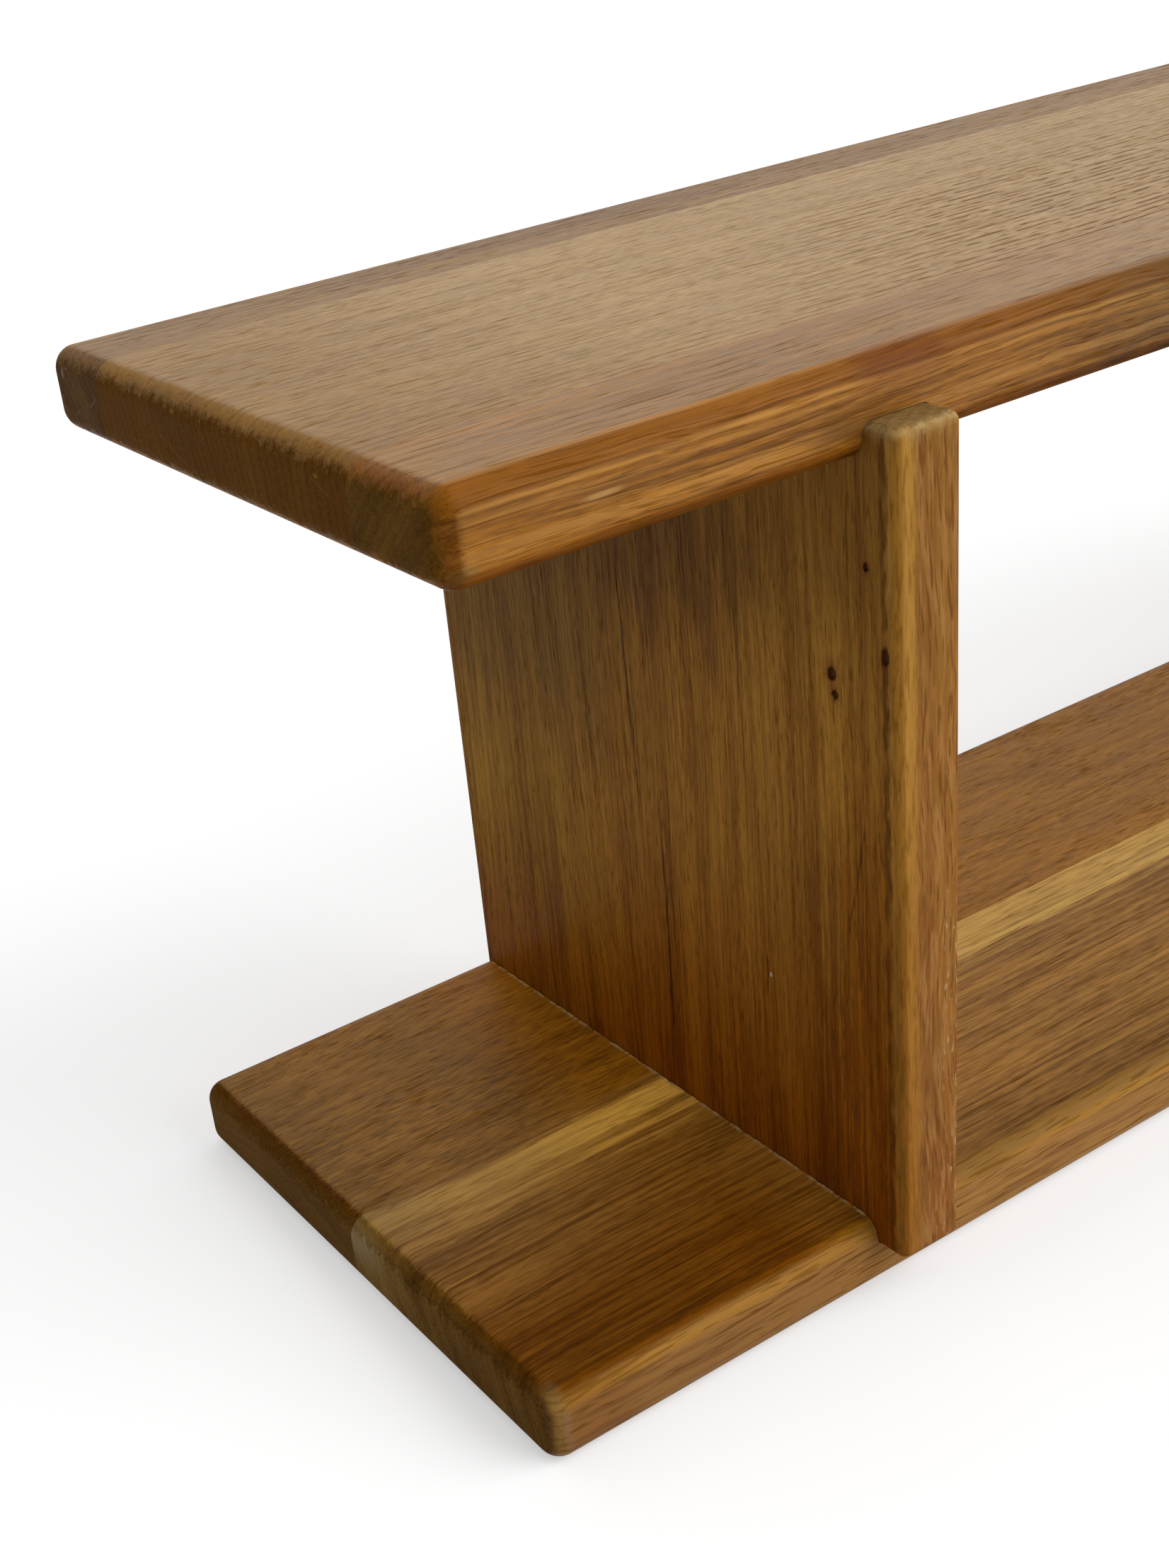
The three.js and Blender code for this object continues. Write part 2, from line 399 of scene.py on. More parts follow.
def upright_staves(side):
    block = UPRIGHTS[side]
    whole = rounded_block("upright", block[0], block[1], UPRIGHT_ROUNDING)
    for level in LEVELS:
        for name in dowel_names(side, level):
            cut(whole, dowel_hole(name))
    for tool in hanger_cutters(side):
        cut(whole, tool)
    if side == "left":
        for knot in KNOTS:
            cut(whole, knot_pit(knot))
    return split_staves(whole, upright_names(side), block, UPRIGHT_ROUNDING)


# Hangers and dowels


def keyhole_entry(plate):
    return (plate[0].x + plate[1].x) / 2, (plate[0].z + plate[1].z) / 2 - KEYHOLE_DROP


def keyhole(centre_x, entry_z):
    """A round entry with a narrower slot that rises from it."""
    mouth = math.degrees(math.asin(SLOT_WIDTH / 2 / KEYHOLE_RADIUS))
    entry = arc(centre_x, entry_z, KEYHOLE_RADIUS, 90 + mouth, 450 - mouth)
    return entry + arc(centre_x, entry_z + SLOT_RISE, SLOT_WIDTH / 2, 0, 180)


def screw_place(name):
    """The middle of a hanger screw's head, and the screw's length."""
    low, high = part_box(name)
    return Vector(((low.x + high.x) / 2, high.y, (low.z + high.z) / 2)), high.y - low.y


def screw_hole(name):
    place, length = screw_place(name)
    shank = SHANK_RADIUS + SCREW_CLEARANCE
    profile = (
        (-OVERRUN, HEAD_RADIUS + SCREW_CLEARANCE),
        (0, HEAD_RADIUS + SCREW_CLEARANCE),
        (HEAD_DEPTH + SCREW_CLEARANCE, shank),
        (length - TIP_LENGTH, shank),
        (length + SCREW_CLEARANCE, SCREW_HOLE_END_RADIUS),
    )
    return turned("hole", profile, SCREW_HOLE_SIDES, place)


def hanger_cutters(side):
    """The plate's bed, the pocket for the wall screw's head behind it, and the screw holes."""
    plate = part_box(f"{side}_hanger_plate")
    centre = (plate[0] + plate[1]) / 2
    width, height = ((plate[1] - plate[0])[axis] + 2 * PLATE_CLEARANCE for axis in (0, 2))
    bed = rounded_rectangle(centre.x, centre.z, width, height, PLATE_CORNER + PLATE_CLEARANCE)
    entry_x, entry_z = keyhole_entry(plate)
    middle_z = entry_z + SLOT_RISE / 2
    pocket = rounded_rectangle(entry_x, middle_z, POCKET_WIDTH, SLOT_RISE + POCKET_WIDTH, POCKET_CORNER)
    past = BACK + OVERRUN
    cutters = [
        prism("bed", bed, past, plate[0].y - PLATE_CLEARANCE),
        prism("pocket", pocket, past, BACK - POCKET_DEPTH),
    ]
    return cutters + [screw_hole(name) for name in screw_names(side)]


def hanger_plate(side):
    name = f"{side}_hanger_plate"
    low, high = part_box(name)
    centre = (low + high) / 2
    outline = rounded_rectangle(centre.x, centre.z, high.x - low.x, high.z - low.z, PLATE_CORNER)
    plate = prism(name + "_steel", outline, high.y, low.y)
    hole = keyhole(*keyhole_entry((low, high)))
    cut(plate, prism("keyhole", hole, high.y + OVERRUN, low.y - OVERRUN))
    for screw in screw_names(side):
        cut(plate, screw_hole(screw))
    break_edges(plate, PLATE_EDGE)
    crisp_normals(plate)
    return plate


def thread(distance, radius, turn):
    """The radius of a screw's skin: a thread that winds once in each pitch."""
    if distance < HEAD_DEPTH + THREAD_PITCH:
        return radius
    share = (distance / THREAD_PITCH - turn / (2 * math.pi)) % 1
    return radius - min(THREAD_DEPTH, radius * THREAD_SHARE_AT_TIP) * abs(2 * share - 1)


def hanger_screw(name):
    place, length = screw_place(name)
    profile = [(0, HEAD_RADIUS), (HEAD_RIM, HEAD_RADIUS), (HEAD_DEPTH, SHANK_RADIUS)]
    steps = int((length - HEAD_DEPTH) / (THREAD_PITCH / THREAD_STEPS))
    for i in range(1, steps + 1):
        distance = HEAD_DEPTH + (length - HEAD_DEPTH) * i / steps
        taper = min(1, (length - distance) / TIP_LENGTH)
        profile.append((distance, max(SHANK_RADIUS * taper, TIP_RADIUS)))
    screw = turned(name + "_steel", profile, SCREW_SIDES, place, thread)
    for width, height in ((RECESS_LENGTH, RECESS_WIDTH), (RECESS_WIDTH, RECESS_LENGTH)):
        half = Vector((width / 2, 0, height / 2))
        low = place - half - Vector((0, RECESS_DEPTH, 0))
        high = place + half + Vector((0, OVERRUN, 0))
        cut(screw, new_object("arm", box_bmesh(low, high)))
    crisp_normals(screw, 50)
    return screw


def dowel_piece(name):
    """A fluted dowel with chamfered ends."""
    low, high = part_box(name)
    centre = (low + high) / 2
    radius = (high.x - low.x) / 2
    half = (high.z - low.z) / 2
    profile = (
        (-half, radius - DOWEL_CHAMFER),
        (DOWEL_CHAMFER - half, radius),
        (half - DOWEL_CHAMFER, radius),
        (half, radius - DOWEL_CHAMFER),
    )

    def fluted(distance, reach, turn):
        return reach - DOWEL_FLUTE_DEPTH * (0.5 - 0.5 * math.cos(DOWEL_FLUTES * turn))

    sides = DOWEL_FLUTES * POINTS_PER_FLUTE
    piece = turned(name + "_beech", profile, sides, Vector((0, 0, 0)), fluted)
    piece.data.transform(Matrix.Translation(centre) @ Matrix.Rotation(math.radians(90), 4, "X"))
    crisp_normals(piece, 35)
    return piece


# Node tools


class Value:
    """What a shader node puts out. Sums on it add the nodes that work them out."""

    def __init__(self, socket):
        self.socket = socket
        self.tree = socket.id_data

    def __add__(self, other):
        return calculate("ADD", self, other)

    def __sub__(self, other):
        return calculate("SUBTRACT", self, other)

    def __rsub__(self, other):
        return calculate("SUBTRACT", other, self)

    def __mul__(self, other):
        return calculate("MULTIPLY", self, other)

    def __abs__(self):
        return calculate("ABSOLUTE", self)

    __radd__ = __add__


def feed(socket, value):
    if isinstance(value, Value):
        value.tree.links.new(value.socket, socket)
    else:
        socket.default_value = value


def add_node(tree, kind, inputs=None, **settings):
    """A shader node with its settings, and with values or constants in its inputs."""
    node = tree.nodes.new(kind)
    for key, setting in settings.items():
        setattr(node, key, setting)
    for key, value in (inputs or {}).items():
        feed(node.inputs[key], value)
    return node


def output_of(tree, kind, inputs=None, output=0, **settings):
    return Value(add_node(tree, kind, inputs, **settings).outputs[output])


def calculate(operation, *numbers, clamp=False):
    """A math node on values and constants, at least one of them a value."""
    tree = next(number.tree for number in numbers if isinstance(number, Value))
    inputs = dict(enumerate(numbers))
    return output_of(tree, "ShaderNodeMath", inputs, operation=operation, use_clamp=clamp)


def larger(a, b):
    return calculate("MAXIMUM", a, b)


def root_of_squares(a, b):
    return calculate("SQRT", a * a + b * b)


def swing(value, amount):
    """A 0 to 1 value as a swing of that amount about zero."""
    return calculate("MULTIPLY_ADD", value, amount, -amount / 2)


def rise(value, start, end):
    """0 up to start, then a soft step to 1 at end, or the other way round if end is lower."""
    low, high, first, last = (start, end, 0, 1) if start <= end else (end, start, 1, 0)
    inputs = {"Value": value, "From Min": low, "From Max": high, "To Min": first, "To Max": last}
    return output_of(value.tree, "ShaderNodeMapRange", inputs, interpolation_type="SMOOTHSTEP")


def band(value, low, high, soft):
    """1 between low and high, with soft sides."""
    return rise(value, low - soft, low + soft) * rise(value, high + soft, high - soft)


def join(x, y, z):
    return output_of(x.tree, "ShaderNodeCombineXYZ", {0: x, 1: y, 2: z})


def split(vector):
    node = add_node(vector.tree, "ShaderNodeSeparateXYZ", {0: vector})
    return [Value(socket) for socket in node.outputs]


def stretch(vector, size):
    """Coordinates in millimetres, divided by a mark's length, width and depth."""
    shares = tuple(1 / side for side in size)
    return output_of(vector.tree, "ShaderNodeVectorMath", {0: vector, 1: shares}, operation="MULTIPLY")


def noise_at(vector, detail=2, roughness=0.5):
    inputs = {"Vector": vector, "Scale": 1, "Detail": detail, "Roughness": roughness}
    return output_of(vector.tree, "ShaderNodeTexNoise", inputs, "Fac", noise_dimensions="3D")


def noise(vector, size, detail=2, roughness=0.5):
    """Soft random marks, 0 to 1, of about that length, width and depth in millimetres."""
    return noise_at(stretch(vector, size), detail, roughness)


def dashes(vector, length, width, limit, crowd):
    """Short marks along the grain, 0 to 1, thicker where the crowd value is high."""
    field = noise(vector, (length, width, width * 1.7), 1)
    return rise(field + crowd, limit, limit + 0.1)


def mix(share, under, over, blend="MIX"):
    """A colour with another laid over it by a share of 0 to 1."""
    inputs = {"Factor": share, 6: under, 7: over}
    settings = dict(data_type="RGBA", blend_type=blend, clamp_factor=True)
    return output_of(share.tree, "ShaderNodeMix", inputs, 2, **settings)


def srgb(red, green, blue):
    """A screen colour, 0 to 255, as linear light."""
    parts = []
    for value in (red, green, blue):
        share = value / 255
        parts.append(share / 12.92 if share <= 0.04045 else ((share + 0.055) / 1.055) ** 2.4)
    return (*parts, 1)


def millimetres(tree):
    """Object coordinates in millimetres."""
    place = output_of(tree, "ShaderNodeTexCoord", output="Object")
    return output_of(tree, "ShaderNodeVectorMath", {0: place, "Scale": 1 / MM}, operation="SCALE")


def new_tree(owner):
    owner.use_nodes = True
    owner.node_tree.nodes.clear()
    return owner.node_tree


def new_material(name):
    material = bpy.data.materials.new(name)
    return material, new_tree(material)


def surface(tree, colour, rough, height, strength, depth, others=None):
    """The principled shader, with a bump and other inputs, as the material's output."""
    bump = output_of(tree, "ShaderNodeBump", {"Height": height, "Strength": strength, "Distance": depth})
    inputs = {"Base Color": colour, "Roughness": rough, "Normal": bump, **(others or {})}
    shader = output_of(tree, "ShaderNodeBsdfPrincipled", inputs)
    add_node(tree, "ShaderNodeOutputMaterial", {"Surface": shader})


# Oak

PORE = (78, 48, 14)
# How far apart two staves' seeds move them in the noise, along, across and through, in millimetres
SEED_MOVES = (137, 31, 17)
SEED_RING_MOVE = 23
LOOK = dict(
    grain="x", sway=14, ripple=1.6, ring_width=3.4, ring_contrast=0.3, tone=1, strand=1, speck=1,
    fibre=1, fibre_length=14, streak_strength=0.35, streak_limit=0.56, pore_length=9, pore_width=0.5,
    pore_limit=0.6, pore_strength=0.5, roughness=0.44, bump=0.35, bump_depth=0.12 * MM, ior=1.3,
    edge_tint=(226, 208, 168), edge_shine=0.35, turn_tint=(255, 255, 255), turn_shine=1,
)


class Wood:
    """One stave's coordinates in millimetres, and its colour while marks are laid over it.

    left and back are the distances from the boards' left end and from the back. straight runs along,
    across and through the stave, and flow along the grain, out from the pith and round it. A stave's
    marks can set hollows of its own in relief, 0 to 1, and lower how far its pores are open, how much
    its turning edges are tinted and how much it shines.
    """

    def __init__(self, tree, look):
        self.tree = tree
        self.look = look
        self.x, self.y, self.z = split(millimetres(tree))
        self.left = self.x - UPPER[0].x / MM
        self.back = BACK / MM - self.y
        upright = look.grain == "z"
        along, across, through = (self.z, self.y, self.x) if upright else (self.x, self.y, self.z)
        moved = tuple(look.seed * share for share in SEED_MOVES)
        inputs = {0: join(along, across, through), 1: moved}
        self.straight = output_of(tree, "ShaderNodeVectorMath", inputs, operation="ADD")
        sway = swing(noise(self.straight, (210, 70, 70), 1), look.sway)
        ripple = swing(noise(self.straight, (26, 9, 9), 1), look.ripple)
        self.shift = sway + ripple
        v = across - look.pith[0] + self.shift
        w = through - look.pith[1] + self.shift
        self.radius = root_of_squares(v, w)
        around = calculate("ARCTAN2", v, w) * (math.hypot(*look.pith) + 40)
        self.flow = join(split(self.straight)[0], self.radius + look.seed * SEED_RING_MOVE, around)
        self.relief = 0
        self.open_pores = self.turns = self.shine = 1

    def paint(self, tint, *shares, blend="MIX"):
        """Lays a screen colour over the wood, by the product of some shares."""
        self.colour = mix(reduce(mul, shares), self.colour, srgb(*tint), blend)

    def shade(self, tint, *shares):
        """Multiplies the wood's colour by a tint, by the product of some shares."""
        self.paint(tint, *shares, blend="MULTIPLY")


def find_rings(wood):
    """Growth rings: each starts with a dark porous line that fades out."""
    uneven = noise(wood.flow, (380, 9, 60), 1)
    wood.phase = calculate("FRACT", wood.radius * (1 / wood.look.ring_width) + uneven * 1.6)
    wood.early = rise(wood.phase, 0, 0.15) * rise(wood.phase, 0.7, 0.15)


def find_ends(wood):
    """Where the surface is rounded, turns to end grain, or is a sawn end with calmer rings."""
    normal = output_of(wood.tree, "ShaderNodeNewGeometry", output="Normal")
    facing = [abs(part) for part in split(normal)]
    wood.edge = rise(larger(facing[0], larger(facing[1], facing[2])), 0.995, 0.93)
    ragged = swing(noise(wood.straight, (7, 0.7, 0.7)), 0.5)
    coarse = swing(noise(wood.straight, (12, 2.6, 2.6), 1), 0.4)
    tilt = facing[2 if wood.look.grain == "z" else 0] + (ragged + coarse) * wood.edge
    wood.end = rise(tilt, 0.6, 0.98)
    wood.turning = rise(tilt, 0.15, 0.5) * rise(tilt, 0.98, 0.8)
    wood.calm = rise(tilt, 0.15, 0.7) * -0.75 + 1


def lay_ground(wood):
    """Broad tone, rings, fine and middling fibres, cloudy patches, small specks and dark streaks."""
    look, flow = wood.look, wood.flow
    patchy = rise(noise(flow, (95, 7, 40)), 0.32, 0.62)
    wood.fibre = noise(flow, (look.fibre_length, 0.4, 0.5), 1)
    strand = noise(flow, (55, 1.1, 4), 2, 0.6)
    broad = noise(flow, (260, 9, 60))
    wood.cloud = noise(wood.straight, (30, 12, 12))
    speck = noise(wood.straight, (4.5, 1, 1), 1)
    tone = swing(broad, 1.9 * look.tone) + swing(wood.fibre, 1.2 * look.fibre)
    tone = tone + swing(strand, 2 * look.strand) * wood.calm
    tone = tone + (swing(wood.cloud, 0.6) + swing(speck, 0.9 * look.speck))
    tone = tone - wood.early * patchy * wood.calm * look.ring_contrast + (0.5 + look.ring_contrast * 0.25)
    wood.colour = mix(tone, srgb(*look.dark), srgb(*look.pale))
    streak = rise(noise(flow, (62, 0.95, 9), 2, 0.6), look.streak_limit, look.streak_limit + 0.14)
    wood.paint(PORE, streak, wood.calm, look.streak_strength)


def lay_pores(wood):
    """Pores: short dark dashes, thickest in the rings' dark lines. Gives their mask."""
    look = wood.look
    patches = swing(noise(wood.flow, (45, 7, 30), 1), 0.2)
    crowd = wood.early * 0.07 + patches
    pores = dashes(wood.flow, look.pore_length, look.pore_width, look.pore_limit, crowd) * wood.open_pores
    wood.paint(PORE, pores, wood.calm, look.pore_strength)
    return pores


def tint_edges(wood):
    """Rounded edges, edges that turn to end grain, and sawn ends with their pits."""
    look = wood.look
    wood.shade(look.edge_tint, wood.edge - wood.edge * wood.end)
    wood.turning = wood.turning * wood.turns
    wood.shade(look.turn_tint, wood.turning, wood.edge)
    wood.shade(look.end_tint, wood.end)
    pits = rise(noise(wood.straight, (4, 0.5, 0.5), 1), 0.5, 0.66)
    wood.shade((190, 178, 158), wood.end, wood.early * 0.18 + pits * 0.3)


def oak(name, look):
    """Oiled oak. Hollows and sawn ends are rougher and shine less."""
    material, tree = new_material(name)
    wood = Wood(tree, look)
    find_rings(wood)
    find_ends(wood)
    lay_ground(wood)
    look.marks(wood)
    pores = lay_pores(wood)
    tint_edges(wood)
    hollow = larger(pores, wood.relief)
    gloss = swing(wood.fibre, 0.14) + (swing(wood.cloud, 0.1) + look.roughness)
    rough = hollow * 0.15 + (wood.end * 0.1 + gloss)
    height = wood.fibre * 0.35 - hollow
    open_grain = larger(wood.end, hollow * 0.8) * -0.48 + 0.5
    shine = open_grain * (wood.edge * (look.edge_shine - 1) + 1)
    shine = shine * (wood.turning * (look.turn_shine - 1) + 1)
    others = {"IOR": look.ior, "Specular IOR Level": shine * wood.shine}
    surface(tree, wood.colour, rough, height, look.bump, look.bump_depth, others)
    return material


# Marks of the staves: places are in millimetres, from the left end, from the back and below the top

UPPER_TOP = UPPER[1].z / MM
LOWER_TOP = LOWER[1].z / MM
UPRIGHT_TOP = UPRIGHTS["left"][1].z / MM
UPRIGHT_FACE = UPRIGHTS["left"][0].x / MM

# Marks in the upper board's left end: from the back, below the top, width, height and strength
END_SPECKS = (
    (9.6, 6, 0.9, 2.8, 0.6),
    (12, 4.6, 1.4, 0.7, 0.3),
    (77.5, 4.6, 2.6, 1, 0.3),
    (149.5, 6.2, 1.8, 1, 0.4),
)
# Scratches there: start and end, below the top and from the back
END_SCRATCHES = (
    ((13.5, 24), (9, 31)),
    ((17.5, 12.5), (15, 17.5)),
    ((10, 64), (18.5, 84)),
    ((6.5, 146), (10.5, 156)),
)

# Long lines in the upper board's front edge: below the top at two places, half width, strength
FRONT_LINE_ENDS = (-80, 420)
FRONT_PALE_LINES = (
    (6.2, 3.6, 0.7, 0.4),
    (8.6, 5.4, 0.9, 0.25),
    (16, 12, 1.4, 0.35),
)
FRONT_DARK_LINES = (
    (4.9, 2.4, 0.6, 0.45),
    (10.8, 7, 0.55, 0.45),
    (14, 9.6, 0.4, 0.5),
    (18.6, 15.6, 0.45, 0.55),
)

# Dark streaks in the left upright: start and end from the back and below the top, half width, strength
UPRIGHT_STREAKS = (
    ((97.5, 30), (101.5, 150), 0.8, 0.7),
    ((111, 125), (110, 225), 0.9, 0.75),
    ((157, 158), (156, 176), 0.6, 0.8),
    ((128, 190), (127, 230), 1.6, 0.35),
    ((200, 95), (189, 150), 0.6, 0.6),
    ((20, 180), (21.5, 225), 0.8, 0.5),
)

# Stains, painted shade under the upper board, and lighter places in its left face: middle from the back
# and below the top, size, tint
UPRIGHT_PATCHES = (
    ((114, 44), (96, 50), (206, 204, 222)),
    ((36, 82), (120, 84), (206, 217, 248)),
    ((172, 72), (44, 84), (276, 284, 292)),
    ((32, 182), (100, 104), (262, 284, 268)),
    ((198, 148), (22, 104), (236, 218, 176)),
)

# A pin knot's rings, from the outside in: shares of its width and height, softness, strength and colour
KNOT_RINGS = (
    (1.7, 2, 0.8, 0.5, (112, 62, 18)),
    (1.1, 1.1, 0.35, 0.92, (50, 20, 7)),
    (0.35, 0.4, 0.6, 0.45, (104, 56, 22)),
)


def streak_line(across, along, start, end, width, wobble):
    """A dark streak between two places, each across and along the grain, as a mask."""
    slope = (end[0] - start[0]) / (end[1] - start[1])
    middle = along * slope + (start[0] - slope * start[1])
    off = abs(across - middle + wobble)
    low, high = min(start[1], end[1]), max(start[1], end[1])
    reach = (high - low) * 0.25
    ends = rise(along, low, low + reach) * rise(along, high, high - reach)
    return rise(off, width, width * 0.2) * ends


def spot(a, b, centre, size, soft=0.4):
    """1 inside an oval, as a mask, from two coordinates."""
    u = (a - centre[0]) * (2 / size[0])
    v = (b - centre[1]) * (2 / size[1])
    return rise(root_of_squares(u, v), 1 + soft, 1 - soft)


def end_marks(wood):
    """The chip, the specks and the faint scratches in the upper board's left end."""
    below = UPPER_TOP - wood.z
    on_end = rise(wood.left, 2, 0.8)
    for across, down, width, height, strength in END_SPECKS:
        mark = spot(wood.back, below, (across, down), (width, height), 0.5)
        wood.paint((236, 212, 172), mark, on_end, strength)
    for start, end in END_SCRATCHES:
        mark = streak_line(below, wood.back, start, end, 0.35, 0)
        wood.paint((196, 146, 104), mark, on_end, 0.5)


def upper_rear_marks(wood):
    """The marks in the end, and the soft dark line where the stave is glued to the next."""
    end_marks(wood)
    off = abs(wood.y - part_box("upper_rear_stave")[0].y / MM)
    wear_and_sheen = noise(wood.straight, (22, 8, 8), 1)
    wood.shade((170, 150, 135), rise(off, 1.3, 0.1), wear_and_sheen)


def upper_centre_marks(wood):
    """Rows of dark dashes, clearest to the right of the upright and towards the front."""
    right = rise(wood.left + wood.back * 0.5, 190, 300)
    front = rise(wood.back, 60, 95)
    place = (right * 0.8 + 0.2) * (front * 0.7 + 0.3)
    line = rise(wood.phase, 0, 0.14) * rise(wood.phase, 0.46, 0.26)
    dashed = rise(noise(wood.flow, (8, 1.6, 4), 1), 0.43, 0.55)
    loose = dashes(wood.flow, 6.5, 0.6, 0.6, 0)
    wood.relief = larger(line * dashed, loose * 0.8) * place
    wood.paint((108, 74, 36), wood.relief, 0.9)
    wood.shade((222, 209, 172), rise(wood.left, 130, 0))
    near_front = rise(wood.back + wood.shift, 136, 168)
    wood.shade((236, 222, 210), near_front, 0.5)
    end_marks(wood)


def upper_front_top(wood, below):
    """Grey-brown streaks on the top, and a painted sheen that makes the top paler and greyer than the
    edges, most of all to the right.
    """
    crowd = swing(noise(wood.flow, (70, 10, 30), 1), 0.16)
    on_top = rise(below, 3, 0.5)
    wood.paint((92, 64, 34), dashes(wood.flow, 22, 1.2, 0.55, crowd), on_top, 0.55)
    right = rise(wood.left, 90, 290)
    # Painted sheen: the top is laid paler and greyer up to the front rounding, more to the right.
    wear_and_sheen = rise(below, 2, 0.3) * rise(wood.back + right * 2.5, 194.5, 193)
    wood.paint((150, 121, 79), wear_and_sheen, 0.4)
    wood.paint((168, 136, 90), wear_and_sheen, right, 0.6)
    rows = dashes(wood.flow, 9, 0.8, 0.52, crowd * 0.5)
    wood.paint((116, 84, 54), rows, rise(wood.left, 120, 230), on_top, 0.62)


def front_lines(wood, below, on_front):
    """Long lines in the front edge, which run a little uphill to the right."""
    drift = swing(noise(wood.straight, (75, 40, 40), 1), 2.4)
    place = on_front * (noise(wood.straight, (26, 2, 4), 1) * 1.3 + 0.2)
    start, end = FRONT_LINE_ENDS
    for lines, tint in ((FRONT_PALE_LINES, (206, 148, 70)), (FRONT_DARK_LINES, (100, 60, 18))):
        for left, right, width, strength in lines:
            line = streak_line(below, wood.left, (left, start), (right, end), width, drift)
            wood.paint(tint, line, place, strength)


def front_spots(wood, below, on_front):
    """A warm patch near the upright, a painted shadow beside the upright, a pale fleck and a greenish
    place.
    """
    patch = band(wood.left + wood.shift, 115, 140, 5)
    wood.shade((190, 140, 90), patch, on_front, rise(below, 10, 4), 0.45)
    ragged = swing(noise(wood.flow, (12, 1.2, 3)), 4)
    # Painted shadow where the upright stands out in front of the board's front edge.
    upright_shadow = spot(wood.left, below + ragged, (113, 15), (30, 4), 0.7)
    wood.paint((74, 40, 14), upright_shadow, on_front, 0.65)
    fleck = spot(wood.left, below + ragged * 0.6, (41, 11), (9, 1.3), 0.8)
    wood.paint((212, 168, 104), fleck, on_front, 0.45)
    green = spot(wood.left, below, (5.5, 18.5), (6, 2.6), 0.7)
    wood.paint((112, 104, 58), green, on_front, 0.5)


def upper_front_marks(wood):
    """A top with painted sheen, and a warm front edge with long lines and spots, with painted shade in
    its top rounding and on its lower rounding.
    """
    below = UPPER_TOP - wood.z
    upper_front_top(wood, below)
    # Painted shade: the top rounding is laid darker and more saturated, where it reflects no bright
    # sheen.
    rounding = rise(below, 7, 4) * rise(wood.back, 193, 194.5)
    wood.paint((146, 98, 24), rounding, 0.6)
    on_front = rise(wood.back, 190, 195) * rise(wood.left, 0.6, 3)
    pale_line = rise(noise(wood.flow, (130, 1, 14), 2, 0.55), 0.5, 0.62)
    wood.paint((196, 138, 62), pale_line, on_front, 0.3)
    dark_line = rise(noise(wood.flow, (110, 0.7, 12), 2, 0.55), 0.45, 0.37)
    wood.paint((98, 58, 16), dark_line, rounding * -0.3 + 0.4, on_front)
    front_lines(wood, below, on_front)
    front_spots(wood, below, on_front)
    # Painted shade on the lower rounding, which faces down.
    wood.shade((176, 160, 124), rise(below, 18.5, 21.5), on_front, 0.7)
    corner = rise(wood.left, 7, 4) * rise(below, 5, 8)
    wood.shade((220, 220, 210), corner, on_front)
    wood.shade((208, 221, 254), rise(wood.left, 150, 240), on_front)


def lower_top_marks(wood):
    """The lower board's top is a little darker towards its left end, and worn pale along the grooves."""
    rim = rise(wood.left, 34, 8) * rise(LOWER_TOP - wood.z, 2, 0.5)
    wood.shade((224, 227, 242), rim, rise(wood.back, 150, 115))
    wear_and_sheen = 0
    for low, high in UPRIGHTS.values():
        middle = (low.x + high.x) / 2 / MM
        reach = (high.x - low.x) / 2 / MM
        wear_and_sheen += rise(abs(wood.x - middle) - reach, 2, 0.8)
    ragged = rise(noise(wood.straight, (3, 2.2, 3)), 0.36, 0.62)
    level = rise(wood.z - LOWER_TOP, -1, -0.2)
    wood.paint((196, 162, 108), wear_and_sheen, level, ragged, 0.95)


def lower_rear_marks(wood):
    """Fine dark dashes, thickest near the glue line, and painted light reflected from the upright, redder
    and brighter towards it.
    """
    crowd = band(wood.back, 50, 96, 12) * 0.08
    bay = rise(wood.left, 140, 200)
    wood.paint((78, 48, 18), dashes(wood.flow, 9, 0.42, 0.58, crowd), bay * -0.22 + 0.5)
    # Painted reflection and bounce light from the upright: redder and brighter, with less blue.
    wood.shade((292, 270, 121), band(wood.left, 85, 136, 18), 0.85)
    wood.shade((245, 237, 198), bay)
    lower_top_marks(wood)


def sapwood_mask(wood, right):
    """Pale stripes beside the glue line, which drift a little to the front."""
    drift = rise(wood.left, -15, 45) * rise(wood.left, 240, 118)
    wave = swing(noise(wood.straight, (60, 400, 400), 1), 3)
    feather = swing(noise(wood.straight, (24, 0.9, 3)), 7)
    glue = (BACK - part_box("lower_front_stave")[1].y) / MM
    from_glue = wood.back - glue - (drift * 5.5 + (wave + feather))
    from_rim = from_glue - rise(wood.left, 150, 125) * 6.5
    first = rise(from_rim, -8.5, -4.8) * rise(from_glue, 14, 8.5)
    second = band(from_glue, 14.5, 17.5, 1.4)
    third = band(from_glue, 21, 23, 1.2)
    between = band(from_glue, 11.5, 18, 1.6) * right
    return first + second * 0.75 + (third * 0.4 + between * 0.8)


def lower_left_part(wood, below, on_end):
    """The left end's front part is darker and duller, and its sawn end is lighter near the sapwood."""
    front_part = rise(wood.back, 112, 180)
    dull = front_part * rise(below, 2.5, 0.5) * rise(wood.left, 150, 120)
    wood.shine = dull * -0.8 + 1
    dark = front_part * rise(wood.left, 126, 86) * (1 - on_end * 0.5)
    wood.shade((157, 125, 20), dark, 0.9)
    light = on_end * rise(wood.back, 122, 102) * rise(wood.z, 6, 18)
    wood.paint((206, 168, 108), light, 0.7)


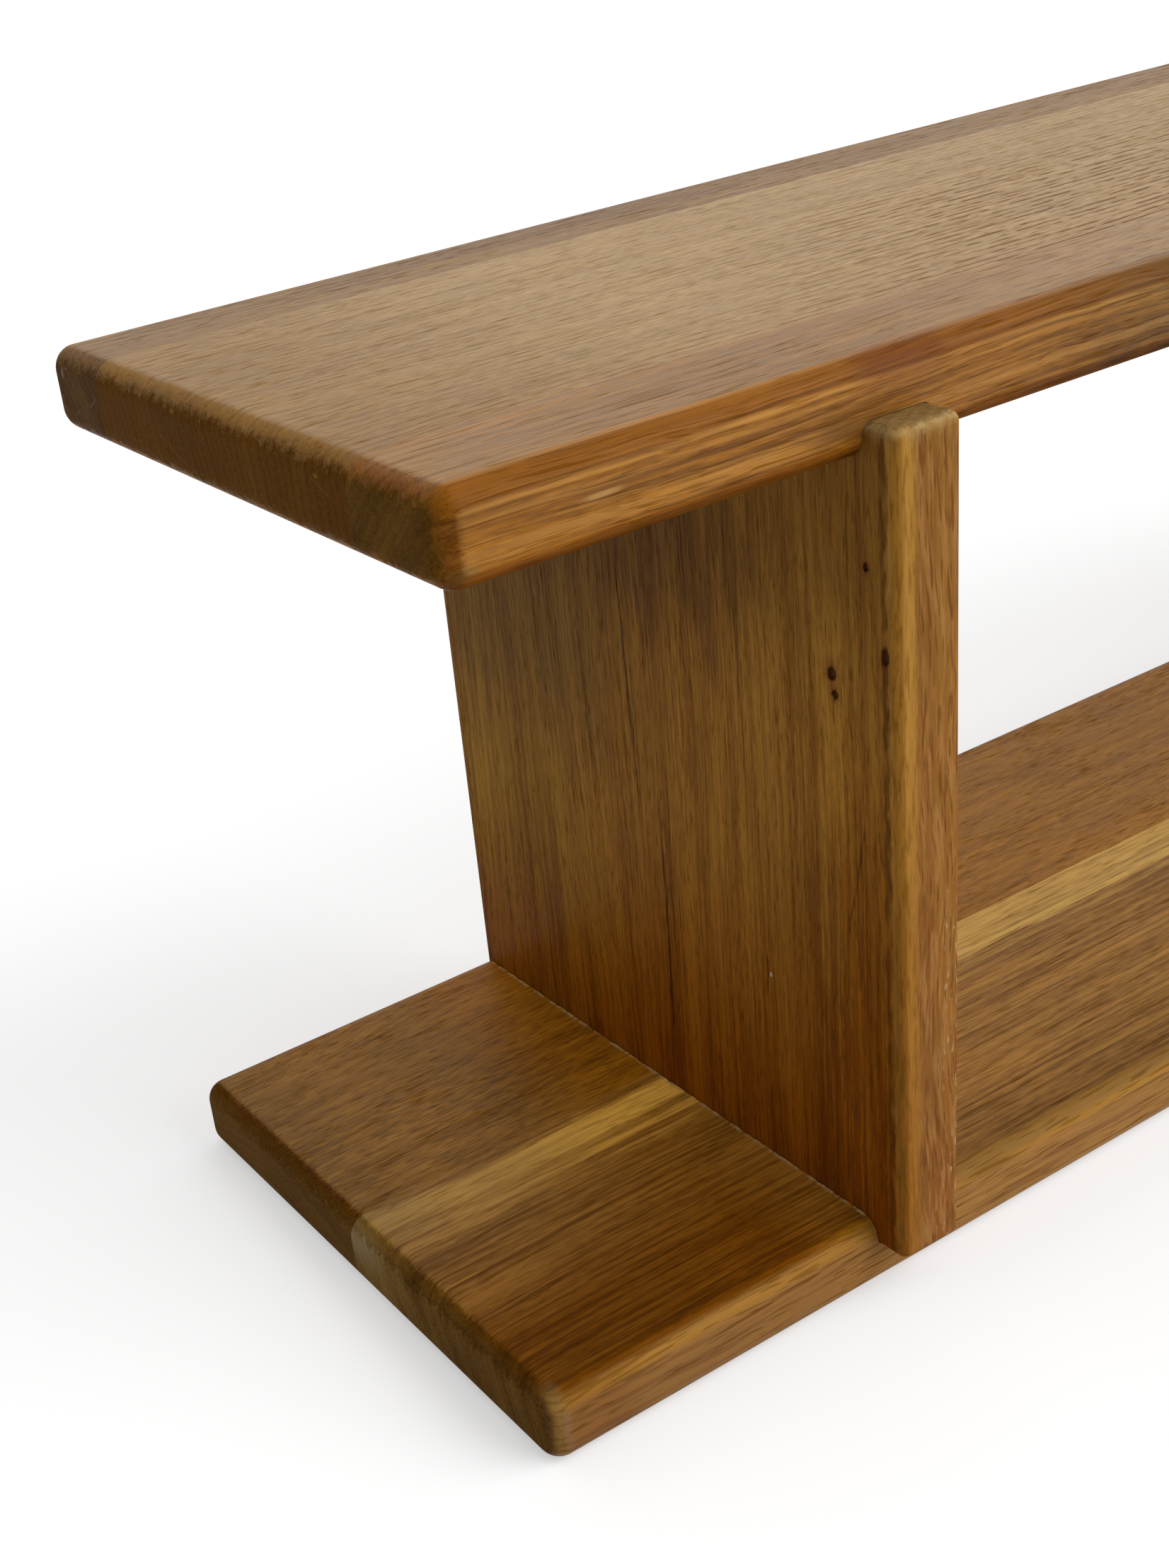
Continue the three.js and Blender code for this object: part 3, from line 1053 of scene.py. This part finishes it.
def lower_front_edge(wood, below, on_front):
    """Dark lines, a paler rounding painted as a highlight, and a broken dark line at its rim, duller near
    the left corner.
    """
    wood.paint((162, 115, 57), on_front, 0.65)
    lines = rise(noise(wood.flow, (75, 0.6, 7), 2, 0.6), 0.47, 0.38)
    wood.paint((112, 68, 30), lines, on_front, 0.55)
    # Painted highlight: a paler band on the upper part of the rounding.
    wood.paint((190, 144, 88), band(below, 1.5, 5, 1.5), on_front, 0.25)
    rim = band(wood.back, 193.3, 194.4, 0.5) * rise(below, 1.5, 0.5)
    broken = rise(noise(wood.straight, (28, 6, 6)), 0.4, 0.6)
    wood.paint((66, 36, 8), rim, broken, 0.6)
    wood.shade((238, 230, 214), rise(wood.left, 36, 20), on_front)


def lower_corner(wood):
    """End grain shows as level lines round the front left corner."""
    corner = rise(wood.left, 8, 3.5) * rise(wood.back, 190, 197)
    corner = corner * rise(wood.left, 0.3, 3.4)
    wood.turns = 1 - corner
    wood.paint((148, 120, 88), corner, 0.55)
    lines = noise_at(join(wood.x * 0.12, wood.y * 0.12, wood.z * 1.1), 1)
    wood.paint((92, 62, 26), rise(lines, 0.5, 0.36), corner, 0.5)


def lower_front_marks(wood):
    """Sapwood, a darker left end, painted light reflected from the upright before it, and painted shade
    on the front rim in the bay.
    """
    below = LOWER_TOP - wood.z
    right = rise(wood.left, 150, 230)
    on_end = rise(wood.left, 5, 1.5)
    # Where painted bounce light from the upright falls, which also lifts the sapwood there.
    upright_bounce = rise(wood.left, 40, 105) * rise(wood.left, 150, 135)
    sapwood = sapwood_mask(wood, right)
    fade = swing(noise(wood.flow, (32, 0.95, 5), 3, 0.6), 2.6) + 0.86
    level = (larger(right, upright_bounce) * 0.35 + 0.6) * (1 - on_end * 0.6)
    wood.paint((204, 160, 80), sapwood, fade, level)
    lower_left_part(wood, below, on_end)
    # Painted light: the wood before the upright is laid brighter, as lit from the upright's face.
    wood.shade((295, 288, 245), upright_bounce)
    wood.shade((298, 304, 308), upright_bounce, sapwood)
    on_front = rise(wood.back, 195, 198.5) * rise(below, 0.6, 2.6)
    lower_front_edge(wood, below, on_front)
    lower_corner(wood)
    wood.shade((252, 252, 253), right - right * on_front)
    # Painted shade on the bay's front rim and the strip just behind it.
    in_bay = rise(wood.left, 137, 150)
    wood.shade((226, 224, 220), in_bay, rise(wood.back, 168, 190), rise(below, 4.5, 2))
    turned_rim = band(wood.back, 194.5, 199, 0.8) * rise(below, 6.5, 4)
    wood.paint((142, 106, 66), in_bay, turned_rim, 0.5)
    lower_top_marks(wood)


def upright_marks(wood):
    """Painted shade under the upper board near the head, and painted shade with the lower board's reddish
    reflection towards the foot.
    """
    below = UPRIGHT_TOP - wood.z
    # Painted shade near the head, under the upper board.
    wood.shade((200, 206, 196), rise(below, 90, 20), 0.65)
    # Painted shade and reflected red from the lower board, towards the foot.
    wood.shade((222, 174, 66), rise(below, 120, 225), 0.9)


def upright_patches(wood, below):
    """Mottled wood and painted shade under the upper board, with torn borders along the grain, and dark
    dashes in its upper part.
    """
    across = wood.back + swing(noise(wood.straight, (34, 4.5, 8), 3, 0.6), 40)
    down = below + swing(noise(wood.straight, (60, 9, 20)), 70)
    # Stains and painted shade: the first two patches darken the face under the upper board.
    for centre, size, tint in UPRIGHT_PATCHES:
        wood.shade(tint, spot(across, down, centre, size, 0.6))
    crowd = swing(noise(wood.straight, (40, 12, 12), 1), 0.1)
    upper = rise(down, 120, 60) * rise(across, 175, 140)
    wood.paint((62, 38, 14), dashes(wood.straight, 17, 0.85, 0.56, crowd), upper, 0.5)


def left_upright_marks(wood):
    """The left upright's stains, its painted shade and its long dark streaks."""
    below = UPRIGHT_TOP - wood.z
    upright_patches(wood, below)
    wobble = swing(noise(wood.straight, (14, 60, 60)), 2.4)
    wobble = wobble + swing(noise(wood.straight, (7, 0.6, 3), 1), 1.6)
    broken = rise(noise(wood.straight, (9, 2.5, 3)), 0.26, 0.5)
    for start, end, width, strength in UPRIGHT_STREAKS:
        line = streak_line(wood.back, below, start, end, width, wobble)
        wood.paint((46, 20, 5), line, broken, strength)
    upright_marks(wood)


def golden_edge(wood, below, from_face):
    """Sapwood along the front edge, with a torn dark border. Gives its mask."""
    torn = swing(noise(wood.straight, (9, 3, 3), 3, 0.6), 5)
    depth = wood.back - 207.2 + torn
    turn = rise(from_face + torn, 8, 5)
    broken = rise(noise(wood.straight, (16, 9, 9)), 0.34, 0.5)
    wood.paint((88, 48, 10), band(depth, -2.2, -0.2, 0.8), broken, turn, 0.7)
    golden = rise(depth, -1, 1.2) * turn
    wood.paint((186, 137, 62), golden, rise(below, 60, 150) * -0.35 + 0.72)
    patches = rise(noise(wood.straight, (9, 1.1, 1.1), 3, 0.6), 0.48, 0.66)
    wood.paint((118, 72, 18), patches, golden, 0.55)
    return golden


def upright_front(wood, below, from_face, golden):
    """Pinkish front with few, slanting, reddish streaks."""
    front = rise(from_face, 4.5, 7.5) * rise(wood.back, 207, 209.5)
    wood.open_pores = 1 - larger(front, golden) * 0.6
    wood.paint((141, 95, 47), front, 0.62)
    bend = swing(noise(wood.straight, (60, 30, 60), 1), 9)
    slanted = join(below, from_face - below * 0.03 + bend, wood.back)
    bands = rise(noise(slanted, (16, 1.5, 9), 3, 0.6), 0.44, 0.64)
    wood.paint((180, 131, 74), bands, front, 0.42)
    crowd = swing(noise(slanted, (26, 3, 20)), 0.26)
    wood.paint((104, 54, 20), dashes(slanted, 10, 0.85, 0.55, crowd), front, 0.6)


def upright_wear(wood, below, from_face):
    """Pale wear near the right edge of the front, the pale sawn top, and a pale speck."""
    wear = rise(noise(wood.straight, (4, 1.2, 1.2)), 0.6, 0.68)
    edge = band(from_face, 15, 21, 1.5) * rise(below, 110, 140)
    wood.paint((206, 170, 130), wear, edge, 0.5)
    drips = noise(wood.straight, (9, 1.2, 1.2)) * 16 - 5.5
    wood.paint((168, 134, 80), rise(below - drips, 3, -2), 0.4)
    blotch = rise(noise(wood.straight, (1.6, 1.3, 2.2)), 0.3, 0.66)
    wood.paint((184, 158, 112), rise(below, 3, 0.6), blotch * 0.5 + 0.4)
    wood.paint((200, 178, 150), spot(wood.back, below, (158, 167), (0.9, 1.6)))


def knot_marks(wood, below, from_face):
    """The pin knots, with their dark rims."""
    on_face = rise(from_face, 2.5, 1.5)
    uneven = swing(noise(wood.straight, (1.1, 1.1, 1.1)), 1.6)
    u = wood.back + uneven
    v = below - uneven
    for across, down, width, height in KNOTS:
        for wide, high, soft, strength, tint in KNOT_RINGS:
            ring = spot(u, v, (across, down), (width * wide, height * high), soft)
            wood.paint(tint, ring, on_face, strength)


def left_front_marks(wood):
    """The left upright's front stave: streaks, sapwood at the front edge, pin knots and a pale top."""
    left_upright_marks(wood)
    below = UPRIGHT_TOP - wood.z
    from_face = wood.x - UPRIGHT_FACE
    red = band(wood.back + below * 0.06, 190, 213, 6) * rise(below, 90, 150)
    red_lines = rise(noise(wood.flow, (45, 1.1, 6)), 0.42, 0.6)
    wood.paint((92, 44, 14), red, red_lines, 0.45)
    golden = golden_edge(wood, below, from_face)
    upright_front(wood, below, from_face, golden)
    upright_wear(wood, below, from_face)
    knot_marks(wood, below, from_face)


UPRIGHT_LOOK = dict(
    grain="z", pale=(171, 119, 44), dark=(126, 79, 23), end_tint=(196, 184, 164),
    edge_tint=(244, 238, 222), ring_contrast=0.2, streak_strength=0.25, fibre=0.85, speck=0.6, ior=1.1,
    pore_length=6.5, pore_width=0.55, pore_strength=0.4,
)
WOODS = {
    "upper_rear_stave": dict(
        seed=1, pith=(290, 120), pale=(145, 108, 52), dark=(110, 76, 36), end_tint=(184, 181, 206),
        streak_strength=0.4, marks=upper_rear_marks,
    ),
    "upper_centre_stave": dict(
        seed=2, pith=(300, 190), pale=(180, 145, 95), dark=(143, 112, 64), end_tint=(179, 157, 104),
        edge_tint=(247, 231, 161), ring_width=3.6, ring_contrast=0.15, streak_strength=0.12,
        pore_strength=0.3, tone=0.5, strand=0.45, speck=1.5, fibre_length=8, marks=upper_centre_marks,
    ),
    "upper_front_stave": dict(
        seed=3, pith=(-190, 140), pale=(170, 110, 29), dark=(118, 71, 15), end_tint=(165, 181, 232),
        sway=8, ring_width=2.8, ring_contrast=0.4, streak_strength=0.4, strand=0.8,
        pore_length=16, pore_width=0.42, pore_strength=0.35, marks=upper_front_marks,
    ),
    "lower_rear_stave": dict(
        seed=4, pith=(60, -130), pale=(172, 120, 44), dark=(138, 92, 28), end_tint=(185, 193, 252),
        edge_tint=(214, 194, 146), turn_tint=(196, 199, 206), turn_shine=0.2, ior=1.2, tone=0.7,
        ring_width=4.2, ring_contrast=0.18, streak_strength=0.15, pore_strength=0.3,
        marks=lower_rear_marks,
    ),
    "lower_front_stave": dict(
        seed=5, pith=(150, -90), pale=(176, 126, 56), dark=(124, 82, 28), end_tint=(200, 211, 240),
        edge_tint=(255, 252, 200), turn_tint=(178, 176, 186), edge_shine=0.6, turn_shine=0.2, ior=1.2,
        ring_width=3, ring_contrast=0.4, streak_strength=0.5, fibre=0.8, strand=0.85,
        pore_length=15, pore_width=0.45, pore_strength=0.4, marks=lower_front_marks,
    ),
    "left_upright_rear_stave": dict(UPRIGHT_LOOK, seed=6, pith=(260, -250), marks=left_upright_marks),
    "left_upright_front_stave": dict(UPRIGHT_LOOK, seed=7, pith=(-240, -240), marks=left_front_marks),
    "right_upright_rear_stave": dict(UPRIGHT_LOOK, seed=8, pith=(250, 420), marks=upright_marks),
    "right_upright_front_stave": dict(UPRIGHT_LOOK, seed=9, pith=(-230, 430), marks=upright_marks),
}

# Beech and steel


def beech(name):
    """Pale dowel wood with short fibre flecks."""
    material, tree = new_material(name)
    place = millimetres(tree)
    fibre = noise(place, (0.5, 0.5, 12))
    fleck = rise(noise(place, (0.35, 0.35, 2.2), 1), 0.56, 0.64)
    colour = mix(fibre, srgb(196, 158, 112), srgb(226, 194, 150))
    colour = mix(fleck * 0.5, colour, srgb(160, 112, 72))
    surface(tree, colour, swing(fibre, 0.15) + 0.6, fibre, 0.3, 0.1 * MM)
    return material


def steel(name, pale, dark, roughness):
    """Zinc-plated steel: faint crystal patches, fine rolling scratches and a soft shine."""
    material, tree = new_material(name)
    place = millimetres(tree)
    inputs = {"Vector": stretch(place, (2.4, 2.4, 2.4)), "Scale": 1}
    cells = output_of(tree, "ShaderNodeTexVoronoi", inputs, "Color", voronoi_dimensions="3D")
    patch = split(cells)[0]
    scratch = noise(place, (0.12, 0.12, 7))
    colour = mix(patch * 0.45 + scratch * 0.5, srgb(*dark), srgb(*pale))
    rough = swing(patch, 0.16) + (swing(scratch, 0.2) + roughness)
    surface(tree, colour, rough, scratch, 0.2, 0.03 * MM, {"Metallic": 1})
    return material


# Every piece, with the node that it stands for


def settle(piece, node, material):
    piece.data.materials.clear()
    piece.data.materials.append(material)
    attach(piece, "root")
    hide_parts(node)


def make_wood():
    parts = (
        (board_staves("upper", UPPER_STAVES, UPPER), "upper_board_oak"),
        (board_staves("lower", LOWER_STAVES, LOWER), "lower_board_oak"),
        (upright_staves("left"), "upright_oak"),
        (upright_staves("right"), "upright_oak"),
    )
    for pieces, slot in parts:
        for name, piece in pieces.items():
            look = SimpleNamespace(**dict(LOOK, **WOODS[name]))
            settle(piece, name, oak(name + "_oak", look))


def make_fittings():
    dowel_material = beech("dowel_beech")
    plate_material = steel("hanger_steel", (206, 207, 208), (150, 152, 155), 0.36)
    screw_material = steel("screw_steel", (222, 216, 196), (166, 160, 140), 0.3)
    for side in SIDES:
        for level in LEVELS:
            for name in dowel_names(side, level):
                settle(dowel_piece(name), name, dowel_material)
        settle(hanger_plate(side), f"{side}_hanger_plate", plate_material)
        for name in screw_names(side):
            settle(hanger_screw(name), name, screw_material)


# Camera, from the edges in the photograph


def make_camera():
    data = bpy.data.cameras.new("camera")
    data.sensor_width = 36
    data.lens = 47.2747
    data.shift_x = 0.07544
    data.shift_y = 0.07051
    data.clip_start = 0.01
    camera = add_object("camera", data)
    camera.location = (-0.65207, -0.43988, 0.39753)
    camera.rotation_euler = Euler([math.radians(angle) for angle in (60.868, 6.4379, -33.3863)], "XYZ")
    bpy.context.scene.camera = camera


# Studio

FLOOR_SIZE = 15
FLOOR_COLOUR = (0.62, 0.62, 0.62, 1)
FLOOR_GLOW = 0.45
KEY_DIRECTION = (0.55, -0.66, 0.55)
KEY_STRENGTH = 2.1
KEY_ANGLE = 55
WHITE = (1, 1, 1, 1)
WORLD_BRIGHT_SIDE = (0.6, 0.55, 0.35)
WORLD_DIM = 0.27
WORLD_BRIGHT = 1.25


def white_rays(tree):
    """1 for what the camera sees straight, in a shine or through glass."""
    rays = add_node(tree, "ShaderNodeLightPath").outputs
    seen = Value(rays["Is Camera Ray"]) + Value(rays["Is Glossy Ray"])
    return calculate("ADD", seen, Value(rays["Is Transmission Ray"]), clamp=True)


def make_floor():
    bm = bmesh.new()
    bmesh.ops.create_grid(bm, x_segments=1, y_segments=1, size=FLOOR_SIZE)
    floor = new_object("floor", bm)
    material, tree = new_material("floor")
    plain = output_of(tree, "ShaderNodeBsdfDiffuse", {"Color": FLOOR_COLOUR})
    glow = output_of(tree, "ShaderNodeEmission", {"Strength": white_rays(tree) * FLOOR_GLOW})
    both = output_of(tree, "ShaderNodeAddShader", {0: plain, 1: glow})
    add_node(tree, "ShaderNodeOutputMaterial", {"Surface": both})
    floor.data.materials.append(material)


def soft_sun(name, direction, strength, angle):
    """A wide far lamp that lights every place alike, from the direction given."""
    data = bpy.data.lights.new(name, "SUN")
    data.energy = strength
    data.angle = math.radians(angle)
    lamp = add_object(name, data)
    lamp.rotation_euler = Vector(direction).to_track_quat("Z", "Y").to_euler()


def make_world():
    """Soft light all round, dimmer on the left, with a white backdrop for the camera."""
    world = bpy.data.worlds.new("studio")
    bpy.context.scene.world = world
    tree = new_tree(world)
    inputs = {
        0: output_of(tree, "ShaderNodeTexCoord", output="Generated"),
        1: Vector(WORLD_BRIGHT_SIDE).normalized(),
    }
    towards = output_of(tree, "ShaderNodeVectorMath", inputs, "Value", operation="DOT_PRODUCT")
    strength = rise(towards, -0.7, 0.8) * (WORLD_BRIGHT - WORLD_DIM) + WORLD_DIM
    light = output_of(tree, "ShaderNodeBackground", {"Strength": strength})
    backdrop = output_of(tree, "ShaderNodeBackground", {"Color": WHITE, "Strength": 1})
    camera_ray = output_of(tree, "ShaderNodeLightPath", output="Is Camera Ray")
    both = output_of(tree, "ShaderNodeMixShader", {0: camera_ray, 1: light, 2: backdrop})
    add_node(tree, "ShaderNodeOutputWorld", {"Surface": both})


make_camera()
make_wood()
make_fittings()
make_floor()
soft_sun("key", KEY_DIRECTION, KEY_STRENGTH, KEY_ANGLE)
make_world()
bpy.context.scene.view_settings.view_transform = "Standard"
